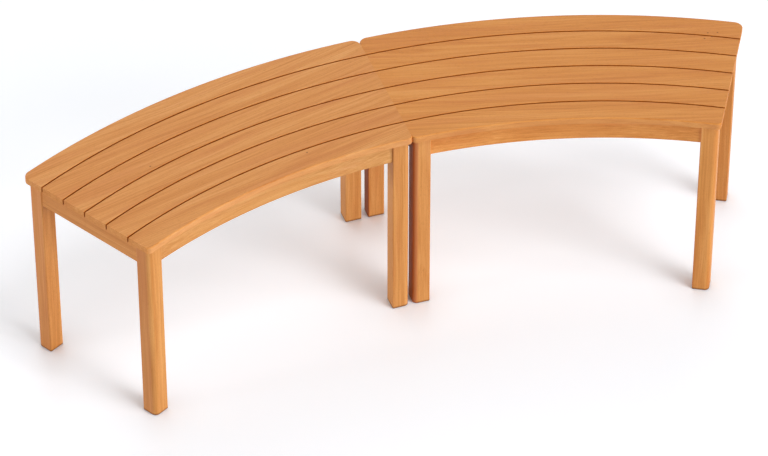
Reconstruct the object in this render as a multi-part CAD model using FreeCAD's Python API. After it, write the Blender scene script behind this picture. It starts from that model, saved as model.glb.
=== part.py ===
import FreeCAD, Part
import math
import os
from FreeCAD import Vector

os.makedirs("parts", exist_ok=True)

# A curved garden bench in two equal segments that stand end to end round a tree.
# Twelve segments would close the ring.
# Each segment is drawn about the middle of the ring, with its own middle line on +Y,
# and is then turned half a segment to the left or to the right.
# Lengths are in millimetres and angles in degrees.

# Ring and seat
seat_height = 450.0
outer_radius = 1565.0
segment_angle = 30.0
end_gap = 0.05

# Seat slats, counted from the outer edge inwards
slat_count = 6
slat_width = 55.9
slat_gap = 3.3
slat_thickness = 14.0
outer_corner_round = 19.0
inner_corner_round = 10.0
slat_edge_round = 3.0
slat_gap_round = 0.8
slat_end_trim = 0.5

# Legs
leg_side = 36.0
leg_line_angle = 14.5
leg_line_shift = 12.4
inner_leg_inset = 5.9
outer_leg_inset = 10.0
leg_corner_round = 10.0
leg_edge_round = 2.5
foot_bevel = 1.5

# Aprons along the curve, and the straight rails across it
frame_height = 46.0
board_thickness = 20.0
apron_setback = 4.5
rail_setback = 2.2
board_edge_round = 1.5

# Mortise and tenon joints, each held by a wooden pin
tenon_thickness = 8.0
tenon_height = 33.0
tenon_length = 15.0
middle_tenon_length = 10.0
mortise_clearance = 0.3
shoulder_clearance = 0.2
pin_diameter = 6.0
pin_spread = 7.0
pin_past_tenon = 2.0

# Screws driven up through the frame into the slats
screw_diameter = 4.0
screw_length = 30.0
screw_head_diameter = 8.0
screw_head_height = 2.6
screw_point_length = 4.0
counterbore_diameter = 9.5
counterbore_depth = 25.0
hole_clearance = 0.2
apron_screw_angles = (-10.5, -3.5, 3.5, 10.5)

# Worked out from the sizes above
slat_pitch = slat_width + slat_gap
seat_depth = slat_count * slat_width + (slat_count - 1) * slat_gap
inner_radius = outer_radius - seat_depth
slat_underside = seat_height - slat_thickness
frame_bottom = slat_underside - frame_height
frame_middle = frame_bottom + frame_height / 2
half_leg = leg_side / 2
inner_leg_radius = inner_radius + inner_leg_inset + half_leg
outer_leg_radius = outer_radius - outer_leg_inset - half_leg
inner_apron_face = inner_radius + inner_leg_inset + apron_setback
outer_apron_face = outer_radius - outer_leg_inset - apron_setback
slat_end_angle = segment_angle / 2 - math.degrees(end_gap / outer_radius)
long_end_angle = slat_end_angle + math.degrees(slat_end_trim / inner_radius)

# The part's origin is on the floor, in the middle of its outline seen from above.
# The outline's lowest point in Y is on the round corner of the innermost slat's far end.
corner_radius_line = inner_radius + inner_corner_round
corner_turn = math.degrees(math.asin(inner_corner_round / corner_radius_line))
corner_angle = segment_angle / 2 + long_end_angle - corner_turn
seat_low_y = corner_radius_line * math.cos(math.radians(corner_angle)) - inner_corner_round
ring_middle_y = -(outer_radius + seat_low_y) / 2


def block(x_range, y_range, z_range):
    """A box between three pairs of limits, given in either order."""
    low = Vector(min(x_range), min(y_range), min(z_range))
    high = Vector(max(x_range), max(y_range), max(z_range))
    size = high - low
    return Part.makeBox(size.x, size.y, size.z, low)


def turned(shape, angle):
    """A copy of the shape turned about the middle of the ring, from +Y towards +X."""
    return shape.rotated(Vector(0, 0, 0), Vector(0, 0, 1), -angle)


def on_leg_line(shape, side):
    """A shape drawn with the leg line on X = 0, moved to where that line really runs."""
    moved = shape.copy()
    moved.translate(Vector(-side * leg_line_shift, 0, 0))
    return turned(moved, side * leg_line_angle)


def ring_board(profile, half_angle):
    """A curved board: a profile of radius and height points, swept round the ring."""
    points = [Vector(0, radius, height) for radius, height in profile]
    face = Part.Face(Part.makePolygon(points + points[:1]))
    sweep = face.revolve(Vector(0, 0, 0), Vector(0, 0, 1), 2 * half_angle)
    return turned(sweep, half_angle)


def edges_at_height(shape, height):
    """The edges that lie flat at one height."""
    return [
        edge for edge in shape.Edges
        if all(abs(vertex.Z - height) < 0.001 for vertex in edge.Vertexes)
    ]


def upright_edges(shape, length):
    """The straight edges of one length that run along Z."""
    return [
        edge for edge in shape.Edges
        if len(edge.Vertexes) == 2
        and abs(edge.Length - length) < 0.001
        and abs(abs(edge.Vertexes[0].Z - edge.Vertexes[1].Z) - length) < 0.001
    ]


def point_on_ring(radius, angle):
    return Vector(radius * math.sin(math.radians(angle)), radius * math.cos(math.radians(angle)), 0)


def top_edges(board, radii):
    """The top edges that run round the ring at any of these radii."""
    return [
        edge for edge in edges_at_height(board, seat_height)
        if any(all(abs(math.hypot(v.X, v.Y) - radius) < 0.01 for v in edge.Vertexes) for radius in radii)
    ]


def slat(number):
    """One curved slat. The outermost and innermost have round corners on the ring's rim.
    Each is made a little long, and its ends are sawn off before its top edges are rounded."""
    high_radius = outer_radius - (number - 1) * slat_pitch
    low_radius = high_radius - slat_width
    profile = [
        (low_radius, slat_underside),
        (high_radius, slat_underside),
        (high_radius, seat_height),
        (low_radius, seat_height),
    ]
    board = ring_board(profile, long_end_angle)
    rims = {1: (high_radius, outer_corner_round), slat_count: (low_radius, inner_corner_round)}
    rim, corner_round = rims.get(number, (None, None))
    if rim:
        corners = [
            edge for edge in upright_edges(board, slat_thickness)
            if abs(math.hypot(edge.Vertexes[0].X, edge.Vertexes[0].Y) - rim) < 0.01
        ]
        board = board.makeFillet(corner_round, corners)
    board = board.common(sawn_band())
    gap_radii = [radius for radius in (low_radius, high_radius) if radius != rim]
    board = board.makeFillet(slat_gap_round, top_edges(board, gap_radii))
    if rim:
        board = board.makeFillet(slat_edge_round, top_edges(board, [rim]))
    return board


def sawn_band():
    """The band of the ring that holds one segment's slats once their ends are sawn."""
    low, high = inner_radius - slat_gap, outer_radius + slat_gap
    bottom, top = slat_underside - slat_gap, seat_height + slat_gap
    return ring_board([(low, bottom), (high, bottom), (high, top), (low, top)], slat_end_angle)


# A leg line runs through the middles of the two legs at one end of a segment. It lies a
# little way in from the slats' ends. Legs, tenons and pins are drawn with it on X = 0,
# where X runs along the curve and Y outwards, and are then moved onto it.
# Side is +1 for the segment's end towards +X and -1 for the other end.

tenon_span = (frame_middle - tenon_height / 2, frame_middle + tenon_height / 2)


def leg_radius(ring):
    return inner_leg_radius if ring == "inner" else outer_leg_radius


def apron_band(ring):
    """Radii of the apron's two faces, the lower first."""
    if ring == "inner":
        return inner_apron_face, inner_apron_face + board_thickness
    return outer_apron_face - board_thickness, outer_apron_face


def apron_tenon(ring, side, extra):
    """The tenon at one end of an apron, made longer by the extra for its mortise."""
    middle = sum(apron_band(ring)) / 2
    band = (middle - tenon_thickness / 2, middle + tenon_thickness / 2)
    tip = -half_leg + tenon_length + extra
    root = -half_leg - tenon_thickness
    return on_leg_line(block((side * root, side * tip), band, tenon_span), side)


def rail_band(side):
    """Limits of an end rail's thickness, measured across the leg line."""
    face = half_leg - rail_setback
    return side * (face - board_thickness), side * face


def rail_tenon(ring, side, extra):
    """The tenon at one end of an end rail, made longer by the extra for its mortise."""
    middle = sum(rail_band(side)) / 2
    band = (middle - tenon_thickness / 2, middle + tenon_thickness / 2)
    inward = 1 if ring == "inner" else -1
    leg_face = leg_radius(ring) + inward * half_leg
    tip = leg_face - inward * (tenon_length + extra)
    root = leg_face + inward * tenon_thickness
    return on_leg_line(block(band, (root, tip), tenon_span), side)


def pin_pair(ring, side, diameter):
    """The two pins in one leg: the upper holds the apron, the lower holds the end rail."""
    inward = 1 if ring == "inner" else -1
    radius = leg_radius(ring)
    apron_middle = sum(apron_band(ring)) / 2
    apron_start = Vector(side * (tenon_length / 2 - half_leg), radius + inward * half_leg, 0)
    apron_start.z = frame_middle + pin_spread
    apron_tip = apron_middle - inward * (tenon_thickness / 2 + pin_past_tenon)
    apron_length = abs(apron_start.y - apron_tip)
    apron_pin = Part.makeCylinder(diameter / 2, apron_length, apron_start, Vector(0, -inward, 0))
    rail_middle = sum(rail_band(side)) / 2
    rail_start = Vector(-side * half_leg, radius + inward * (half_leg - tenon_length / 2), 0)
    rail_start.z = frame_middle - pin_spread
    rail_tip = rail_middle + side * (tenon_thickness / 2 + pin_past_tenon)
    rail_length = abs(rail_start.x - rail_tip)
    rail_pin = Part.makeCylinder(diameter / 2, rail_length, rail_start, Vector(side, 0, 0))
    return [on_leg_line(pin, side) for pin in (apron_pin, rail_pin)]


def leg(ring, side):
    """A square leg under the slats, with its outward corner rounded most."""
    radius = leg_radius(ring)
    outward = -1 if ring == "inner" else 1
    post = block((-half_leg, half_leg), (radius - half_leg, radius + half_leg), (0, slat_underside))
    uprights = upright_edges(post, slat_underside)
    big = [
        edge for edge in uprights
        if edge.Vertexes[0].X * side > 0 and (edge.Vertexes[0].Y - radius) * outward > 0
    ]
    post = post.makeFillet(leg_corner_round, big)
    small = [
        edge for edge in upright_edges(post, slat_underside)
        if edge.Vertexes[0].X * side < -half_leg + 0.001
        or (edge.Vertexes[0].Y - radius) * outward < -half_leg + 0.001
    ]
    post = post.makeFillet(leg_edge_round, small)
    post = post.makeChamfer(foot_bevel, edges_at_height(post, 0))
    post = on_leg_line(post, side)
    holes = [apron_tenon(ring, side, mortise_clearance), rail_tenon(ring, side, mortise_clearance)]
    holes += pin_pair(ring, side, pin_diameter + hole_clearance)
    return post.cut(holes)


def screw_places(holder):
    """Where the screws stand: a point on the floor plan for each, in one frame member."""
    if holder in ("inner", "outer"):
        middle = sum(apron_band(holder)) / 2
        return [point_on_ring(middle, angle) for angle in apron_screw_angles]
    radii = [
        outer_radius - slat_width / 2 - index * slat_pitch
        for index in range(1, slat_count - 1)
    ]
    if holder == "middle":
        return [Vector(0, radius, 0) for radius in radii]
    offset = sum(rail_band(holder)) / 2
    places = []
    for radius in radii:
        place = Part.Vertex(offset, radius, 0)
        places.append(on_leg_line(place, holder).Point)
    return places


def screw_at(place):
    """A round-headed wood screw standing point up, its head on the counterbore's floor."""
    head_top = frame_bottom + counterbore_depth
    head = Part.makeCylinder(screw_head_diameter / 2, screw_head_height,
                             place + Vector(0, 0, head_top - screw_head_height))
    shank_length = screw_length - screw_point_length
    shank = Part.makeCylinder(screw_diameter / 2, shank_length, place + Vector(0, 0, head_top))
    point = Part.makeCone(screw_diameter / 2, screw_diameter / 8, screw_point_length,
                          place + Vector(0, 0, head_top + shank_length))
    return head.fuse([shank, point]).removeSplitter()


def screw_holes(place):
    """The clearance hole and counterbore that one screw needs, as one solid to cut."""
    radius = (screw_diameter + hole_clearance) / 2
    top = frame_bottom + counterbore_depth + screw_length + hole_clearance
    shank = Part.makeCylinder(radius, top - frame_bottom, place + Vector(0, 0, frame_bottom))
    bore = Part.makeCylinder(counterbore_diameter / 2, counterbore_depth + 1,
                             place + Vector(0, 0, frame_bottom - 1))
    return shank.fuse(bore)


def middle_rail_span():
    """Where the middle rail's shoulders meet the flat of the two aprons."""
    half = board_thickness / 2
    start = apron_band("inner")[1]
    end = math.sqrt(apron_band("outer")[0] ** 2 - half ** 2)
    return start + shoulder_clearance / 2, end - shoulder_clearance / 2


def middle_tenon(ring, extra):
    """The tenon that the middle rail puts into one apron."""
    start, end = middle_rail_span()
    half = tenon_thickness / 2
    if ring == "inner":
        span = (start + tenon_thickness, start - middle_tenon_length - extra)
    else:
        span = (end - tenon_thickness, end + middle_tenon_length + extra)
    return block((-half, half), span, tenon_span)


def apron(ring):
    """A curved board between two legs, with a tenon at each end."""
    low_radius, high_radius = apron_band(ring)
    profile = [
        (low_radius, frame_bottom),
        (high_radius, frame_bottom),
        (high_radius, slat_underside),
        (low_radius, slat_underside),
    ]
    board = ring_board(profile, leg_line_angle)
    radii = (low_radius, high_radius)
    long_edges = [
        edge for edge in edges_at_height(board, frame_bottom)
        if any(all(abs(math.hypot(v.X, v.Y) - radius) < 0.01 for v in edge.Vertexes) for radius in radii)
    ]
    board = board.makeFillet(board_edge_round, long_edges)
    for side in (-1, 1):
        beyond = block((-side * half_leg, side * 2 * leg_side),
                       (low_radius - leg_side, high_radius + leg_side),
                       (frame_bottom - 1, slat_underside + 1))
        board = board.cut(on_leg_line(beyond, side))
    board = board.fuse([apron_tenon(ring, side, 0) for side in (-1, 1)])
    holes = [middle_tenon(ring, mortise_clearance)]
    holes += [screw_holes(place) for place in screw_places(ring)]
    for side in (-1, 1):
        holes.append(pin_pair(ring, side, pin_diameter + hole_clearance)[0])
    return board.cut(holes).removeSplitter()


def long_lower_edges(board):
    """The two lower edges that run the length of a rail along Y."""
    return [
        edge for edge in edges_at_height(board, frame_bottom)
        if abs(edge.Vertexes[0].X - edge.Vertexes[1].X) < 0.001
    ]


def end_rail(side):
    """A straight rail between the inner and the outer leg at one end."""
    span = (inner_leg_radius + half_leg, outer_leg_radius - half_leg)
    board = block(rail_band(side), span, (frame_bottom, slat_underside))
    board = board.makeFillet(board_edge_round, long_lower_edges(board))
    board = on_leg_line(board, side)
    board = board.fuse([rail_tenon(ring, side, 0) for ring in ("inner", "outer")])
    holes = [screw_holes(place) for place in screw_places(side)]
    holes += [pin_pair(ring, side, pin_diameter + hole_clearance)[1] for ring in ("inner", "outer")]
    return board.cut(holes).removeSplitter()


def middle_rail():
    """A straight rail across the middle, tenoned into both aprons."""
    half = board_thickness / 2
    board = block((-half, half), middle_rail_span(), (frame_bottom, slat_underside))
    board = board.makeFillet(board_edge_round, long_lower_edges(board))
    board = board.fuse([middle_tenon(ring, 0) for ring in ("inner", "outer")])
    holes = [screw_holes(place) for place in screw_places("middle")]
    return board.cut(holes).removeSplitter()


def segment():
    """Every piece of one segment by name, with its middle line on +Y."""
    holders = ("inner", "outer", "middle", -1, 1)
    places = [place for holder in holders for place in screw_places(holder)]
    pieces = {}
    for number in range(1, slat_count + 1):
        board = slat(number)
        low = outer_radius - (number - 1) * slat_pitch - slat_width
        own = [place for place in places if low < place.Length < low + slat_width]
        pieces["slat_%d" % number] = board.cut([screw_holes(place) for place in own])
    legs = [(ring, side) for ring in ("outer", "inner") for side in (-1, 1)]
    for ring, side in legs:
        pieces["%s_leg_%+d" % (ring, side)] = leg(ring, side)
    for ring in ("outer", "inner"):
        pieces["%s_apron" % ring] = apron(ring)
    for side in (-1, 1):
        pieces["end_rail_%+d" % side] = end_rail(side)
    pieces["middle_rail"] = middle_rail()
    pins = [pin for ring, side in legs for pin in pin_pair(ring, side, pin_diameter)]
    pieces["tenon_pins"] = Part.makeCompound(pins)
    pieces["slat_screws"] = Part.makeCompound([screw_at(place) for place in places])
    return pieces


# The two segments stand either side of X = 0. The end of each one that meets the other
# is its joint end, and the one away from it is its free end.
one_segment = segment()
for hand, turn in (("left", -segment_angle / 2), ("right", segment_angle / 2)):
    for name, shape in one_segment.items():
        joint_side = "+1" if hand == "left" else "-1"
        if name.endswith(("+1", "-1")):
            end = "joint" if name.endswith(joint_side) else "free"
            name = "%s_%s" % (name[:-3], end)
        placed = turned(shape, turn)
        placed.translate(Vector(0, ring_middle_y, 0))
        placed.exportStep("parts/%s_%s.step" % (hand, name))

print("ring middle y %.3f, inner radius %.1f" % (ring_middle_y, inner_radius))
print("outer chord of a segment %.1f" % (2 * outer_radius * math.sin(math.radians(segment_angle / 2))))
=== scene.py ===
# %% [markdown]
# A curved garden bench in oiled hardwood.
# The real bench is two alike segments that stand end to end round a tree. Each has six
# slats sawn to the curve, on a frame of square legs, curved aprons and straight rails.
# The carpentry is already modelled at full size, so this lesson only gives it its looks:
# the wood, the pins and screws, and a plain white studio seen from the photograph's side.

# %% Load the bench
import math
import random

import bpy
from mathutils import Matrix, Vector


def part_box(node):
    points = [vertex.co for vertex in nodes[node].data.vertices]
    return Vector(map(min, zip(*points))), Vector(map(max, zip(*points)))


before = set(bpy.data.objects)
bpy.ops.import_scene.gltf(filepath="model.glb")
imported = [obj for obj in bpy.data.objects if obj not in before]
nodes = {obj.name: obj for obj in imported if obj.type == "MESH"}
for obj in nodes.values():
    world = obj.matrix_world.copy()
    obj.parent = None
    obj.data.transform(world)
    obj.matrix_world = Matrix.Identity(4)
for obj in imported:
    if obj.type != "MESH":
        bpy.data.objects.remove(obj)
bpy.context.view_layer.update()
scene = bpy.context.scene

# %% [markdown]
# The camera stands well back with a long lens, because the far end of the bench looks
# hardly smaller than the near end. It could be placed by eye, but a bench with round arcs
# lets its place be worked out: only one spot makes the slats' gaps fall where they do.

# %% Camera
camera_spot = Vector((-2.3124, -6.6329, 5.9788))
camera_heading = math.radians(18.994)
camera_dip = math.radians(39.744)
camera_roll = math.radians(0.015)
camera_lens = 205.18
camera_reach = 200
sensor_width = 36.0

camera_data = bpy.data.cameras.new("camera")
camera_data.lens = camera_lens
camera_data.sensor_width = sensor_width
camera_data.clip_end = camera_reach
camera = bpy.data.objects.new("camera", camera_data)
scene.collection.objects.link(camera)
heading = Matrix.Rotation(-camera_heading, 4, "Z")
tilt = Matrix.Rotation(math.pi / 2 - camera_dip, 4, "X")
roll = Matrix.Rotation(camera_roll, 4, "Z")
camera.matrix_world = Matrix.Translation(camera_spot) @ heading @ tilt @ roll
scene.camera = camera
print("camera is %.2f m from the bench" % camera_spot.length)

# %% [markdown]
# Every finish below is a small tree of shader nodes. One helper keeps such a tree short:
# it adds a node, and each of its sockets gets either a value or the output that feeds it.
# Colours are written as painters' hex codes, and turned into the linear values of light.

# %% Helpers for node trees
white = (1, 1, 1, 1)


def empty_tree(owner):
    """The node tree of a new material or world, without the nodes that it starts with."""
    owner.use_nodes = True
    owner.node_tree.nodes.clear()
    return owner.node_tree


def add(tree, kind, sockets=None, **settings):
    """A new shader node. A socket is given by name or number, with a value or an output."""
    node = tree.nodes.new("ShaderNode" + kind)
    for name, value in settings.items():
        setattr(node, name, value)
    for key, value in (sockets or {}).items():
        if isinstance(value, bpy.types.NodeSocket):
            tree.links.new(value, node.inputs[key])
        else:
            node.inputs[key].default_value = value
    return node


def math_of(tree, operation, *values):
    """The output of one sum, with up to three values or outputs going in."""
    return add(tree, "Math", dict(enumerate(values)), operation=operation).outputs[0]


def vector_of(tree, operation, *values, output="Vector"):
    """The output of one sum with vectors. A length or a distance comes out as Value."""
    return add(tree, "VectorMath", dict(enumerate(values)), operation=operation).outputs[output]


def paint(hex_code):
    """A colour code as linear red, green, blue and a full alpha."""
    parts = [int(hex_code[i:i + 2], 16) / 255 for i in (1, 3, 5)]
    linear = [p / 12.92 if p < 0.04045 else ((p + 0.055) / 1.055) ** 2.4 for p in parts]
    return (*linear, 1.0)


def blend_of(tree, amount, first, second, how="MIX"):
    """Two colours mixed by an amount from 0 to 1."""
    node = add(tree, "Mix", {0: amount, 6: first, 7: second}, data_type="RGBA", blend_type=how)
    return node.outputs[2]


print("oiled wood in linear light:", [round(c, 3) for c in paint("#D0905A")])

# %% [markdown]
# The studio is white from edge to edge, with the bench's own soft shadow on the floor. A
# curved paper backdrop would do, but the camera sees only floor, so one wide satin sheet is
# enough. It is lifted to white by a glow that only the camera sees. The glow fades where
# something stands close by, which paints a contact shadow right beside each foot.

# %% Floor
floor_half_width = 30.0
floor_white_lift = 0.282
contact_reach = 0.10
contact_falloff = 1.7
contact_samples = 16
paper_tints = (paint("#EEF2F8"), paint("#F2F6FC"))

corners = [(-1, -1, 0), (1, -1, 0), (1, 1, 0), (-1, 1, 0)]
floor_mesh = bpy.data.meshes.new("floor")
floor_mesh.from_pydata([Vector(c) * floor_half_width for c in corners], [], [(0, 1, 2, 3)])
floor = bpy.data.objects.new("floor", floor_mesh)
scene.collection.objects.link(floor)

paper = bpy.data.materials.new("studio floor")
tree = empty_tree(paper)
cloud = add(tree, "TexNoise", {"Scale": 3.0, "Detail": 2.0}).outputs["Fac"]
satin = add(tree, "BsdfPrincipled", {
    "Base Color": blend_of(tree, cloud, *paper_tints),
    "Roughness": 0.32,
    "Specular IOR Level": 0.25,
})
# Painted contact shadow: the glow fades where the occlusion finds the bench close by.
contact = add(tree, "AmbientOcclusion", {"Distance": contact_reach}, samples=contact_samples)
contact_shadow_fade = math_of(tree, "POWER", contact.outputs["AO"], contact_falloff)
seen = add(tree, "LightPath").outputs["Is Camera Ray"]
lift = math_of(tree, "MULTIPLY", seen, floor_white_lift)
lift = math_of(tree, "MULTIPLY", lift, contact_shadow_fade)
glow = add(tree, "Emission", {"Color": white, "Strength": lift})
both = add(tree, "AddShader", {0: satin.outputs[0], 1: glow.outputs[0]})
add(tree, "OutputMaterial", {"Surface": both.outputs[0]})
floor_mesh.materials.append(paper)
print("floor: %d m wide" % (floor_half_width * 2))

# %% [markdown]
# The world around the floor is white to the eye and in the gloss of wood and steel. It lights
# the bench less strongly than it looks, so that the lamps still shape the wood. One plain
# white world would be simpler, but its light comes from all sides and would flatten the bench.

# %% World
world_light = 0.30

world = bpy.data.worlds.new("studio")
tree = empty_tree(world)
rays = add(tree, "LightPath").outputs
seen = math_of(tree, "MAXIMUM", rays["Is Camera Ray"], rays["Is Glossy Ray"])
seen = math_of(tree, "MAXIMUM", seen, rays["Is Transmission Ray"])
dim = add(tree, "Background", {"Color": white, "Strength": world_light})
bright = add(tree, "Background", {"Color": white, "Strength": 1.0})
sky = add(tree, "MixShader", {0: seen, 1: dim.outputs[0], 2: bright.outputs[0]})
add(tree, "OutputWorld", {"Surface": sky.outputs[0]})
scene.world = world
print("world light:", world_light)

# %% [markdown]
# The shadows start at each foot and run back and to the left, and they are gone within a
# hand's width. So the key light is low and in front to the right, and a high one shades the
# floor under the seat. The upright faces are as bright as the seat or brighter, on both sides
# of each leg. Two very low lamps do that, right and left: they skim over the floor, so they
# hardly light it and leave no shadow of their own. A wide one behind spreads the shadows
# towards the camera. Only the high lamp and the back one give gloss, because a low one would
# glare on the seat when it is seen from the far side. Softboxes could be built as glowing
# panels. Sun lamps are used instead, because they light both ends of the bench alike, and
# the width of a sun's disc softens its shadows as the size of a softbox does.

# %% Lamps
def soft_sun(name, strength, toward, height, width, gloss=False):
    """A sun lamp that shines from a compass angle, counted from -Y towards +X, and a height
    above the floor. Both are in degrees, and so is the width of its disc."""
    data = bpy.data.lights.new(name, "SUN")
    data.energy = strength
    data.angle = math.radians(width)
    lamp = bpy.data.objects.new(name, data)
    turn = Matrix.Rotation(math.radians(toward), 4, "Z")
    lean = Matrix.Rotation(math.radians(90 - height), 4, "X")
    lamp.matrix_world = turn @ lean
    lamp.visible_glossy = gloss
    scene.collection.objects.link(lamp)
    print("%s: strength %.2f, %s" % (name, strength, "gloss" if gloss else "no gloss"))


soft_sun("key light", strength=1.30, toward=35, height=22, width=25)
soft_sun("right skimming light", strength=1.16, toward=60, height=3, width=10)
soft_sun("left skimming light", strength=1.20, toward=-90, height=3, width=10)
soft_sun("high light", strength=0.87, toward=35, height=60, width=25, gloss=True)
soft_sun("back light", strength=0.57, toward=180, height=45, width=60, gloss=True)
scene.view_settings.view_transform = "Standard"

# %% [markdown]
# Oiled hardwood of this kind is honey brown, with straight grain. Its colour changes in
# broad soft streaks, then in the yearly rings, then in fibres under a millimetre wide, with
# short dark pores between them. A picture of planks could be wrapped on, but then the
# pattern would not run through the board. A solid pattern is used instead: the colour at
# a point depends on how far it lies from the middle of the trunk and how far along it.
# Here X always runs along the trunk. Noise drawn out along X gives streaks of any size.

# %% Streaks and ramps
def streaks(tree, place, size, detail=2.0):
    """Noise drawn out along the grain. Its size is the length and width of a blot in metres."""
    length, width = size
    place = vector_of(tree, "MULTIPLY", place, (1 / length, 1 / width, 1 / width))
    return add(tree, "TexNoise", {"Vector": place, "Scale": 1.0, "Detail": detail}).outputs


def ramp(tree, value, *stops):
    """A ramp through colours or greys, each given with its place from 0 to 1."""
    node = add(tree, "ValToRGB", {0: value})
    line = node.color_ramp
    while len(line.elements) < len(stops):
        line.elements.new(0.5)
    for element, (place, colour) in zip(line.elements, stops):
        element.position = place
        element.color = colour if isinstance(colour, tuple) else (colour, colour, colour, 1)
    return node.outputs[0]


broad_size = (0.55, 0.028)
middle_size = (0.22, 0.0075)
fine_size = (0.13, 0.0026)
blush_size = (0.30, 0.022)
pore_size = (0.007, 0.0005)
print("streaks: %.1f, %.1f and %.1f mm wide" % tuple(
    1000 * size[1] for size in (broad_size, middle_size, fine_size)))

# %% [markdown]
# A trunk grows a ring each year, pale at first and darker towards its end. So each ring is a
# tube round the middle of the trunk, and a sawn face shows it as a stripe. Even stripes
# would do on a small part, but on a bench they would look drawn with a ruler. So slow noise
# pushes the place aside first, and a second noise makes some years wider than others.

# %% Yearly rings
ring_spacing = 0.0046
ring_waver = 0.010
waver_size = (0.45, 0.09)
uneven_pace = 0.31
uneven_years = 3.0
ring_greys = ((0.0, 0.2), (0.55, 0.38), (0.86, 1.0), (1.0, 0.2))


def bent_place(tree, place):
    """The place in the trunk, pushed aside by slow noise, so that no line is dead straight."""
    push = streaks(tree, place, waver_size)["Color"]
    push = vector_of(tree, "SUBTRACT", push, (0.5, 0.5, 0.5))
    push = vector_of(tree, "MULTIPLY", push, (0, ring_waver * 2, ring_waver * 2))
    return vector_of(tree, "ADD", place, push)


def yearly_rings(tree, bent):
    """How much a point is late wood, which is the dark end of each ring."""
    across = vector_of(tree, "MULTIPLY", bent, (0, 1, 1))
    radius = vector_of(tree, "LENGTH", across, output="Value")
    years = math_of(tree, "DIVIDE", radius, ring_spacing)
    pace = math_of(tree, "MULTIPLY", years, uneven_pace)
    uneven = add(tree, "TexNoise", {"W": pace, "Scale": 1.0}, noise_dimensions="1D")
    years = math_of(tree, "MULTIPLY_ADD", uneven.outputs["Fac"], uneven_years, years)
    return ramp(tree, math_of(tree, "FRACT", years), *ring_greys)


print("a ring every %.1f mm" % (ring_spacing * 1000))

# %% [markdown]
# The streaks of three widths and the rings add up to one number, the paleness, and a ramp
# turns it into a mix of four browns. Here and there the wood blushes redder. The pores are
# vessels that the saw has cut open: short dark dashes, deepest in the late wood. One noise
# could carry all this, but then the wood would have detail of one size only.

# %% Colour and pores of the wood
broad_share = 0.42
middle_share = 0.42
fine_share = 0.44
ring_share = -0.10
fine_detail = 3.0
pore_detail = 1.0
pore_share = 0.35
late_pore_share = 0.45
honey_browns = (
    (0.25, paint("#B16720")),
    (0.47, paint("#CA823D")),
    (0.66, paint("#D8944F")),
    (0.92, paint("#E6AB6C")),
)
blush_red = paint("#CB7D44")


def streak_colour(tree, bent, fine, ring, tone):
    """The colour before pores and oil. The tone makes a whole board paler or deeper."""
    broad = streaks(tree, bent, broad_size)["Fac"]
    middle = streaks(tree, bent, middle_size)["Fac"]
    paleness = math_of(tree, "MULTIPLY_ADD", broad, broad_share, tone)
    paleness = math_of(tree, "MULTIPLY_ADD", middle, middle_share, paleness)
    paleness = math_of(tree, "MULTIPLY_ADD", fine, fine_share, paleness)
    paleness = math_of(tree, "MULTIPLY_ADD", ring, ring_share, paleness)
    colour = ramp(tree, paleness, *honey_browns)
    blush = add(tree, "SeparateColor", {0: streaks(tree, bent, blush_size)["Color"]})
    blush = ramp(tree, blush.outputs["Green"], (0.50, 0.0), (0.68, 0.32))
    return blend_of(tree, blush, colour, blush_red)


def pores_of(tree, place, ring):
    """How deep a point lies in a pore: 0 between the pores, and most in the late wood."""
    pores = ramp(tree, streaks(tree, place, pore_size, pore_detail)["Fac"], (0.60, 0.0), (0.70, 1.0))
    share = math_of(tree, "MULTIPLY_ADD", ring, late_pore_share, pore_share)
    return math_of(tree, "MULTIPLY", pores, share)


print("browns from deep to pale:", len(honey_browns))

# %% [markdown]
# All of it goes into one group of nodes, so that every board can use the same pattern. The
# oil is a colour that multiplies the wood, as a clear oil does. A cut end drinks more oil,
# so it is a little darker and duller. Fibres stand up, pores lie deep, and a bump of a
# quarter of a millimetre shows that in the light. Carving it into the mesh would cost
# millions of faces.

# %% The oiled wood, as a pattern through the solid board
pore_strength = 0.55
pore_brown = paint("#8E4C06")
end_strength = 0.10
end_brown = paint("#8F5222")
satin_roughness = 0.40
fine_roughness = 0.16
pore_roughness = 0.20
end_roughness = 0.12
fine_height = 0.6
ring_height = 0.25


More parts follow.
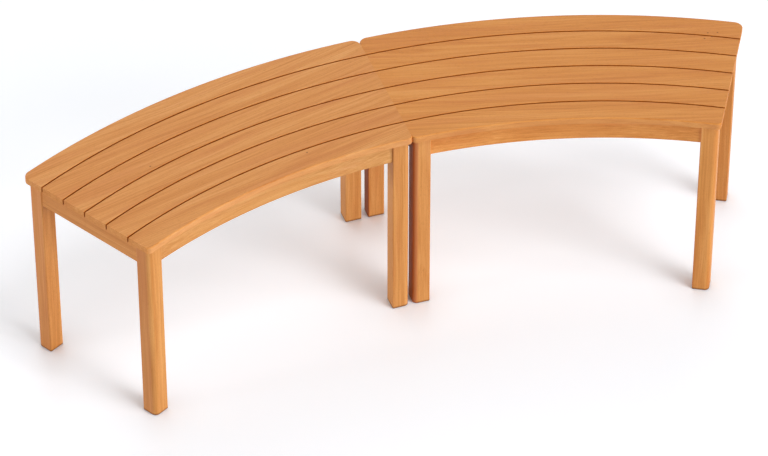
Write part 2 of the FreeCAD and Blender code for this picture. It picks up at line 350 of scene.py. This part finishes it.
def wood_pattern():
    """A node group: place and normal in the trunk, tone and oil go in. Colour, roughness and
    height come out."""
    tree = bpy.data.node_groups.new("oiled wood", "ShaderNodeTree")
    for name, kind in (("Place", "Vector"), ("Normal", "Vector"), ("Tone", "Float"), ("Oil", "Color")):
        tree.interface.new_socket(name, in_out="INPUT", socket_type="NodeSocket" + kind)
    for name, kind in (("Colour", "Color"), ("Roughness", "Float"), ("Height", "Float")):
        tree.interface.new_socket(name, in_out="OUTPUT", socket_type="NodeSocket" + kind)
    given = tree.nodes.new("NodeGroupInput").outputs
    bent = bent_place(tree, given["Place"])
    ring = yearly_rings(tree, bent)
    fine = streaks(tree, bent, fine_size, fine_detail)["Fac"]
    pores = pores_of(tree, given["Place"], ring)
    along = add(tree, "SeparateXYZ", {0: given["Normal"]}).outputs["X"]
    ends = ramp(tree, math_of(tree, "ABSOLUTE", along), (0.75, 0.0), (0.97, 1.0))

    colour = streak_colour(tree, bent, fine, ring, given["Tone"])
    colour = blend_of(tree, math_of(tree, "MULTIPLY", pores, pore_strength), colour, pore_brown)
    colour = blend_of(tree, 1.0, colour, given["Oil"], "MULTIPLY")
    colour = blend_of(tree, math_of(tree, "MULTIPLY", ends, end_strength), colour, end_brown)
    rough = math_of(tree, "MULTIPLY_ADD", fine, fine_roughness, satin_roughness)
    rough = math_of(tree, "MULTIPLY_ADD", pores, pore_roughness, rough)
    rough = math_of(tree, "MULTIPLY_ADD", ends, end_roughness, rough)
    height = math_of(tree, "MULTIPLY", ring, ring_height)
    height = math_of(tree, "MULTIPLY_ADD", fine, fine_height, height)
    height = math_of(tree, "SUBTRACT", height, pores)
    result = tree.nodes.new("NodeGroupOutput").inputs
    for name, value in (("Colour", colour), ("Roughness", rough), ("Height", height)):
        tree.links.new(value, result[name])
    return tree


oiled_wood = wood_pattern()
print("wood pattern:", len(oiled_wood.nodes), "nodes")

# %% [markdown]
# A plain wood would look too clean. The sides that face a narrow gap get painted shade, the
# very foot of each leg gets a painted contact shade, some faces get a reddish painted shade or
# a paler painted highlight, and a few pin knots lie where the real seat has them. Such marks
# could be painted on by hand. Here each is worked out from where a point lies or which way its
# surface faces, so it stays sharp and fits the piece exactly.

# %% Painted shade and highlights, and pin knots
# Painted shade for the sides in gaps, a painted highlight for the innermost slat's edge, a reddish
# painted shade for shaded leg faces, and painted contact shade at the feet. The knots are the wood's
# own.
painted_gap_shade = "#AE5808"
painted_edge_highlight = "#C89C72"
painted_shade_red = "#CB6C3D"
painted_foot_shade = "#5A2C0C"
knot_brown = "#6A3408"
side_start = 0.70
side_full = 0.92
# How high the painted contact shade at the foot of a leg reaches.
foot_shade_height = 0.006
knot_radius = 0.0024
ring_middle = Vector((0, -1.309485, 0))
pin_knot_spots = {
    "right_slat_1": [(27.41, 1.5168), (28.16, 1.5210)],
    "right_slat_2": [(27.22, 1.4963), (27.78, 1.5046)],
    "left_slat_3": [(-22.16, 1.4034)],
    "left_slat_6": [(-9.96, 1.2584)],
}


def compass(angle):
    """The level direction at an angle from +Y towards +X, which is outwards on the ring."""
    return Vector((math.sin(math.radians(angle)), math.cos(math.radians(angle)), 0))


def paint_side_shading(tree, colour, sides):
    """The colour of the wood with painted shade or a painted highlight on the sides that face along
    the given ways.
    """
    normal = add(tree, "TexCoord").outputs["Normal"]
    for way, tone, amount in sides:
        facing = vector_of(tree, "DOT_PRODUCT", normal, way, output="Value")
        mask = ramp(tree, facing, (side_start, 0.0), (side_full, amount))
        colour = blend_of(tree, mask, colour, paint(tone))
    return colour


def paint_foot_shade(tree, colour, place):
    """The colour made dark at the very foot of a leg, a painted contact shade where it meets the
    floor.
    """
    height = add(tree, "SeparateXYZ", {0: place}).outputs["Z"]
    part = math_of(tree, "DIVIDE", height, foot_shade_height)
    mask = ramp(tree, part, (0.0, 0.8), (0.5, 0.6), (1.0, 0.0))
    return blend_of(tree, mask, colour, paint(painted_foot_shade))


def pin_knots(tree, colour, place, spots):
    """The colour with a small dark knot at each spot, given by angle and radius on the ring."""
    flat = vector_of(tree, "MULTIPLY", place, (1, 1, 0))
    for angle, radius in spots:
        middle = compass(angle) * radius + ring_middle
        away = vector_of(tree, "DISTANCE", flat, middle, output="Value")
        mask = ramp(tree, math_of(tree, "DIVIDE", away, knot_radius), (0.45, 0.75), (1.0, 0.0))
        colour = blend_of(tree, mask, colour, paint(knot_brown))
    return colour


print("pin knots:", sum(len(spots) for spots in pin_knot_spots.values()))

# %% [markdown]
# No two boards come from the same place in the tree. Each board gets the pattern turned so
# that the grain runs along it, and shifted so that the middle of the trunk lies at its own
# side and distance. The shift is drawn from a fixed seed, so the bench looks the same
# each time the lesson is run. Each board also takes the oil in its own way. One finish for
# all the boards would be less work, but then the grain would run on from board to board.

# %% One finish for each board
draw = random.Random(20)
trunk_length = 8
tone_spread = 0.03
grain_depth = 0.00025


def place_in_trunk(name, turn, heart):
    """The shift that takes the middle of a board to a drawn spot in the trunk."""
    low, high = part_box(name)
    angle = draw.uniform(0.15, 0.85) * math.pi * draw.choice((-1, 1))
    distance = draw.uniform(*heart)
    along = draw.uniform(0, trunk_length)
    spot = Vector((along, distance * math.cos(angle), distance * math.sin(angle)))
    return spot - turn @ ((low + high) / 2)


def dress(name, finish):
    """A piece of the bench gets its finish."""
    mesh = nodes[name].data
    mesh.materials.clear()
    mesh.materials.append(finish)


def board_finish(name, grain, face, heart, tone=0.0, oil=(1, 1, 1), sides=()):
    """Oiled wood on one board, its grain along one direction and its face square to another.
    The heart is how far away the middle of the trunk may lie, in metres. The oil multiplies the
    colour of the wood. Each of the sides is a way, a painted shade or highlight colour, and its
    strength."""
    grain = Vector(grain).normalized()
    side = Vector(face).cross(grain).normalized()
    turn = Matrix((grain, side, grain.cross(side)))
    turned = {"Rotation": turn.to_euler("XYZ")}
    shift = place_in_trunk(name, turn, heart)

    finish = bpy.data.materials.new("oiled " + name)
    tree = empty_tree(finish)
    where = add(tree, "TexCoord").outputs
    place = add(tree, "Mapping", {"Vector": where["Object"], "Location": shift, **turned})
    normal = add(tree, "Mapping", {"Vector": where["Normal"], **turned}, vector_type="VECTOR")
    wood = add(tree, "Group", {
        "Place": place.outputs[0],
        "Normal": normal.outputs[0],
        "Tone": tone + draw.uniform(-tone_spread, tone_spread),
        "Oil": (*oil, 1),
    }, node_tree=oiled_wood).outputs
    bump = add(tree, "Bump", {"Height": wood["Height"], "Strength": 0.5, "Distance": grain_depth})
    colour = wood["Colour"]
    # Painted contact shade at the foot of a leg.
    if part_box(name)[0].z < foot_shade_height:
        colour = paint_foot_shade(tree, colour, where["Object"])
    if name in pin_knot_spots:
        colour = pin_knots(tree, colour, where["Object"], pin_knot_spots[name])
    # Painted shade or a painted highlight on the chosen sides.
    if sides:
        colour = paint_side_shading(tree, colour, sides)
    skin = add(tree, "BsdfPrincipled", {
        "Base Color": colour,
        "Roughness": wood["Roughness"],
        "Normal": bump.outputs[0],
        "Specular IOR Level": 0.3,
        "Coat Weight": 0.06,
        "Coat Roughness": 0.35,
    })
    add(tree, "OutputMaterial", {"Surface": skin.outputs[0]})
    dress(name, finish)


print("boards are cut from a trunk of %d m" % trunk_length)

# %% [markdown]
# A slat is sawn from one straight plank, so its grain follows the chord of the segment and
# runs out over the curved edges near both ends. Where the two segments meet, the grain
# changes direction, and that alone shows the joint on the seat. The sides in the gaps get
# painted shade, and the inner edge of the innermost slat gets a paler painted highlight. The
# aprons below are sawn the same way. The pattern could be bent round with the board, but
# bent grain would say that the slats were steamed and bent, and they are sawn.

# %% Slats and aprons
segment_angle = 30.0
slat_count = 6
up = (0, 0, 1)
hands = {"left": -segment_angle / 2, "right": segment_angle / 2}
slat_tone = 0.03
slat_oils = {"left": (1.07, 1.03, 0.99), "right": (1.055, 0.95, 0.71)}
apron_oils = {"left": (0.98, 1.10, 1.32), "right": (1.11, 1.04, 0.93)}
# How strongly the paler painted highlight shows on the innermost slat's inner edge.
edge_highlight_strength = {"left": 0.24, "right": 0.20}
slat_heart = (0.10, 0.24)
apron_heart = (0.06, 0.16)

for hand, middle in hands.items():
    chord = compass(middle + 90)
    outwards = compass(middle)
    for number in range(1, slat_count + 1):
        sides = []
        # The sides that face a gap get painted shade.
        if number > 1:
            sides.append((outwards, painted_gap_shade, 1.0))
        if number < slat_count:
            sides.append((-outwards, painted_gap_shade, 1.0))
        else:
            # The inner edge of the innermost slat gets a paler painted highlight.
            sides.append((-outwards, painted_edge_highlight, edge_highlight_strength[hand]))
        name = "%s_slat_%d" % (hand, number)
        board_finish(name, chord, up, slat_heart, slat_tone, slat_oils[hand], sides)
    for ring in ("inner", "outer"):
        name = "%s_%s_apron" % (hand, ring)
        board_finish(name, chord, outwards, apron_heart, oil=apron_oils[hand])
print("slats and aprons finished:", len(bpy.data.materials))

# %% [markdown]
# The legs are cut with the grain upright, because wood is strong only along it. The rails
# run straight from front to back. Both are narrow, so they show fewer and straighter lines.
# Where the segments meet, two pairs of legs stand close together, and the sides in the gap
# get painted shade. The corners beside the gap on the right segment's legs get a reddish
# painted shade, and so do the left faces of the legs at the free ends, which are turned from
# the key light. The legs could all have one tone, but each real one is from another board,
# some paler and some deeper, so each has its own oil.

# %% Legs and rails
leg_line = 14.5
leg_heart = (0.05, 0.14)
rail_heart = (0.10, 0.24)
# How strongly the painted gap shade and the reddish painted shade show on the legs.
painted_gap_shade_strength = 0.75
shade_face_strength = 0.3
shade_corner_strength = 0.6
left_way = Vector((-1, 0, 0))
rail_oil = (1.00, 0.94, 0.87)
leg_oils = {
    "left_inner_leg_free": (0.97, 1.00, 1.02),
    "left_outer_leg_free": (1.04, 1.03, 1.02),
    "left_inner_leg_joint": (1.01, 1.04, 1.10),
    "left_outer_leg_joint": (1.07, 1.11, 1.20),
    "right_inner_leg_joint": (1.02, 1.05, 1.12),
    "right_outer_leg_joint": (1.07, 1.10, 1.18),
    "right_inner_leg_free": (1.05, 1.01, 0.90),
    "right_outer_leg_free": (0.97, 0.89, 0.76),
}

for hand, middle in hands.items():
    toward_joint = 1 if hand == "left" else -1
    for end in ("free", "joint"):
        side = toward_joint if end == "joint" else -toward_joint
        line = middle + side * leg_line
        inwards = -compass(line)
        gap_way = compass(line + 90) * side
        # A reddish painted shade on the left faces of the free legs, painted shade in the gap at the
        # joint, and a reddish painted shade on the right joint legs' corners beside the gap.
        sides = [(left_way, painted_shade_red, shade_face_strength)]
        if end == "joint":
            sides = [(gap_way, painted_gap_shade, painted_gap_shade_strength)]
        if end == "joint" and hand == "right":
            corner_way = (gap_way + inwards).normalized()
            sides.append((corner_way, painted_shade_red, shade_corner_strength))
        for ring in ("inner", "outer"):
            name = "%s_%s_leg_%s" % (hand, ring, end)
            board_finish(name, up, compass(line), leg_heart, oil=leg_oils[name], sides=sides)
        name = "%s_end_rail_%s" % (hand, end)
        board_finish(name, compass(line), compass(line + 90), rail_heart, oil=rail_oil)
    name = "%s_middle_rail" % hand
    board_finish(name, compass(middle), compass(middle + 90), rail_heart, oil=rail_oil)
print("legs and rails finished:", len(bpy.data.materials))

# %% [markdown]
# The pins that lock the tenons are turned from a paler, harder wood, and they end flush with
# the inside of the legs. They could share the finish of the legs, but then they would
# disappear, and on a real joint the round pale ends show that it is pinned.

# %% Pins
pin_tone = 0.14

for hand, middle in hands.items():
    board_finish("%s_tenon_pins" % hand, compass(middle), up, rail_heart, pin_tone)
print("pins finished:", len(bpy.data.materials))

# %% [markdown]
# The screws under the frame are plated steel with a dull, slightly uneven shine. A plain
# grey metal would do from afar. Two noises make it better: a cloudy one for the plating, and
# a fine one for the marks that the making of the screw has left.

# %% Screws
mark_size = (0.0006, 0.0006)
cloud_size = (0.004, 0.004)
mark_detail = 3.0
mark_depth = 0.00005
steel_greys = ((0.3, paint("#9A9A96")), (0.7, paint("#C2C0B8")))


def steel_finish():
    """Plated steel, cloudy and finely marked."""
    finish = bpy.data.materials.new("plated steel")
    tree = empty_tree(finish)
    where = add(tree, "TexCoord").outputs["Object"]
    marks = streaks(tree, where, mark_size, mark_detail)["Fac"]
    cloud = streaks(tree, where, cloud_size)["Fac"]
    bump = add(tree, "Bump", {"Height": marks, "Strength": 0.3, "Distance": mark_depth})
    skin = add(tree, "BsdfPrincipled", {
        "Base Color": ramp(tree, cloud, *steel_greys),
        "Roughness": math_of(tree, "MULTIPLY_ADD", marks, 0.25, 0.25),
        "Normal": bump.outputs[0],
        "Metallic": 1.0,
    })
    add(tree, "OutputMaterial", {"Surface": skin.outputs[0]})
    return finish


steel = steel_finish()
for hand in hands:
    dress("%s_slat_screws" % hand, steel)
print("finishes:", len(bpy.data.materials))
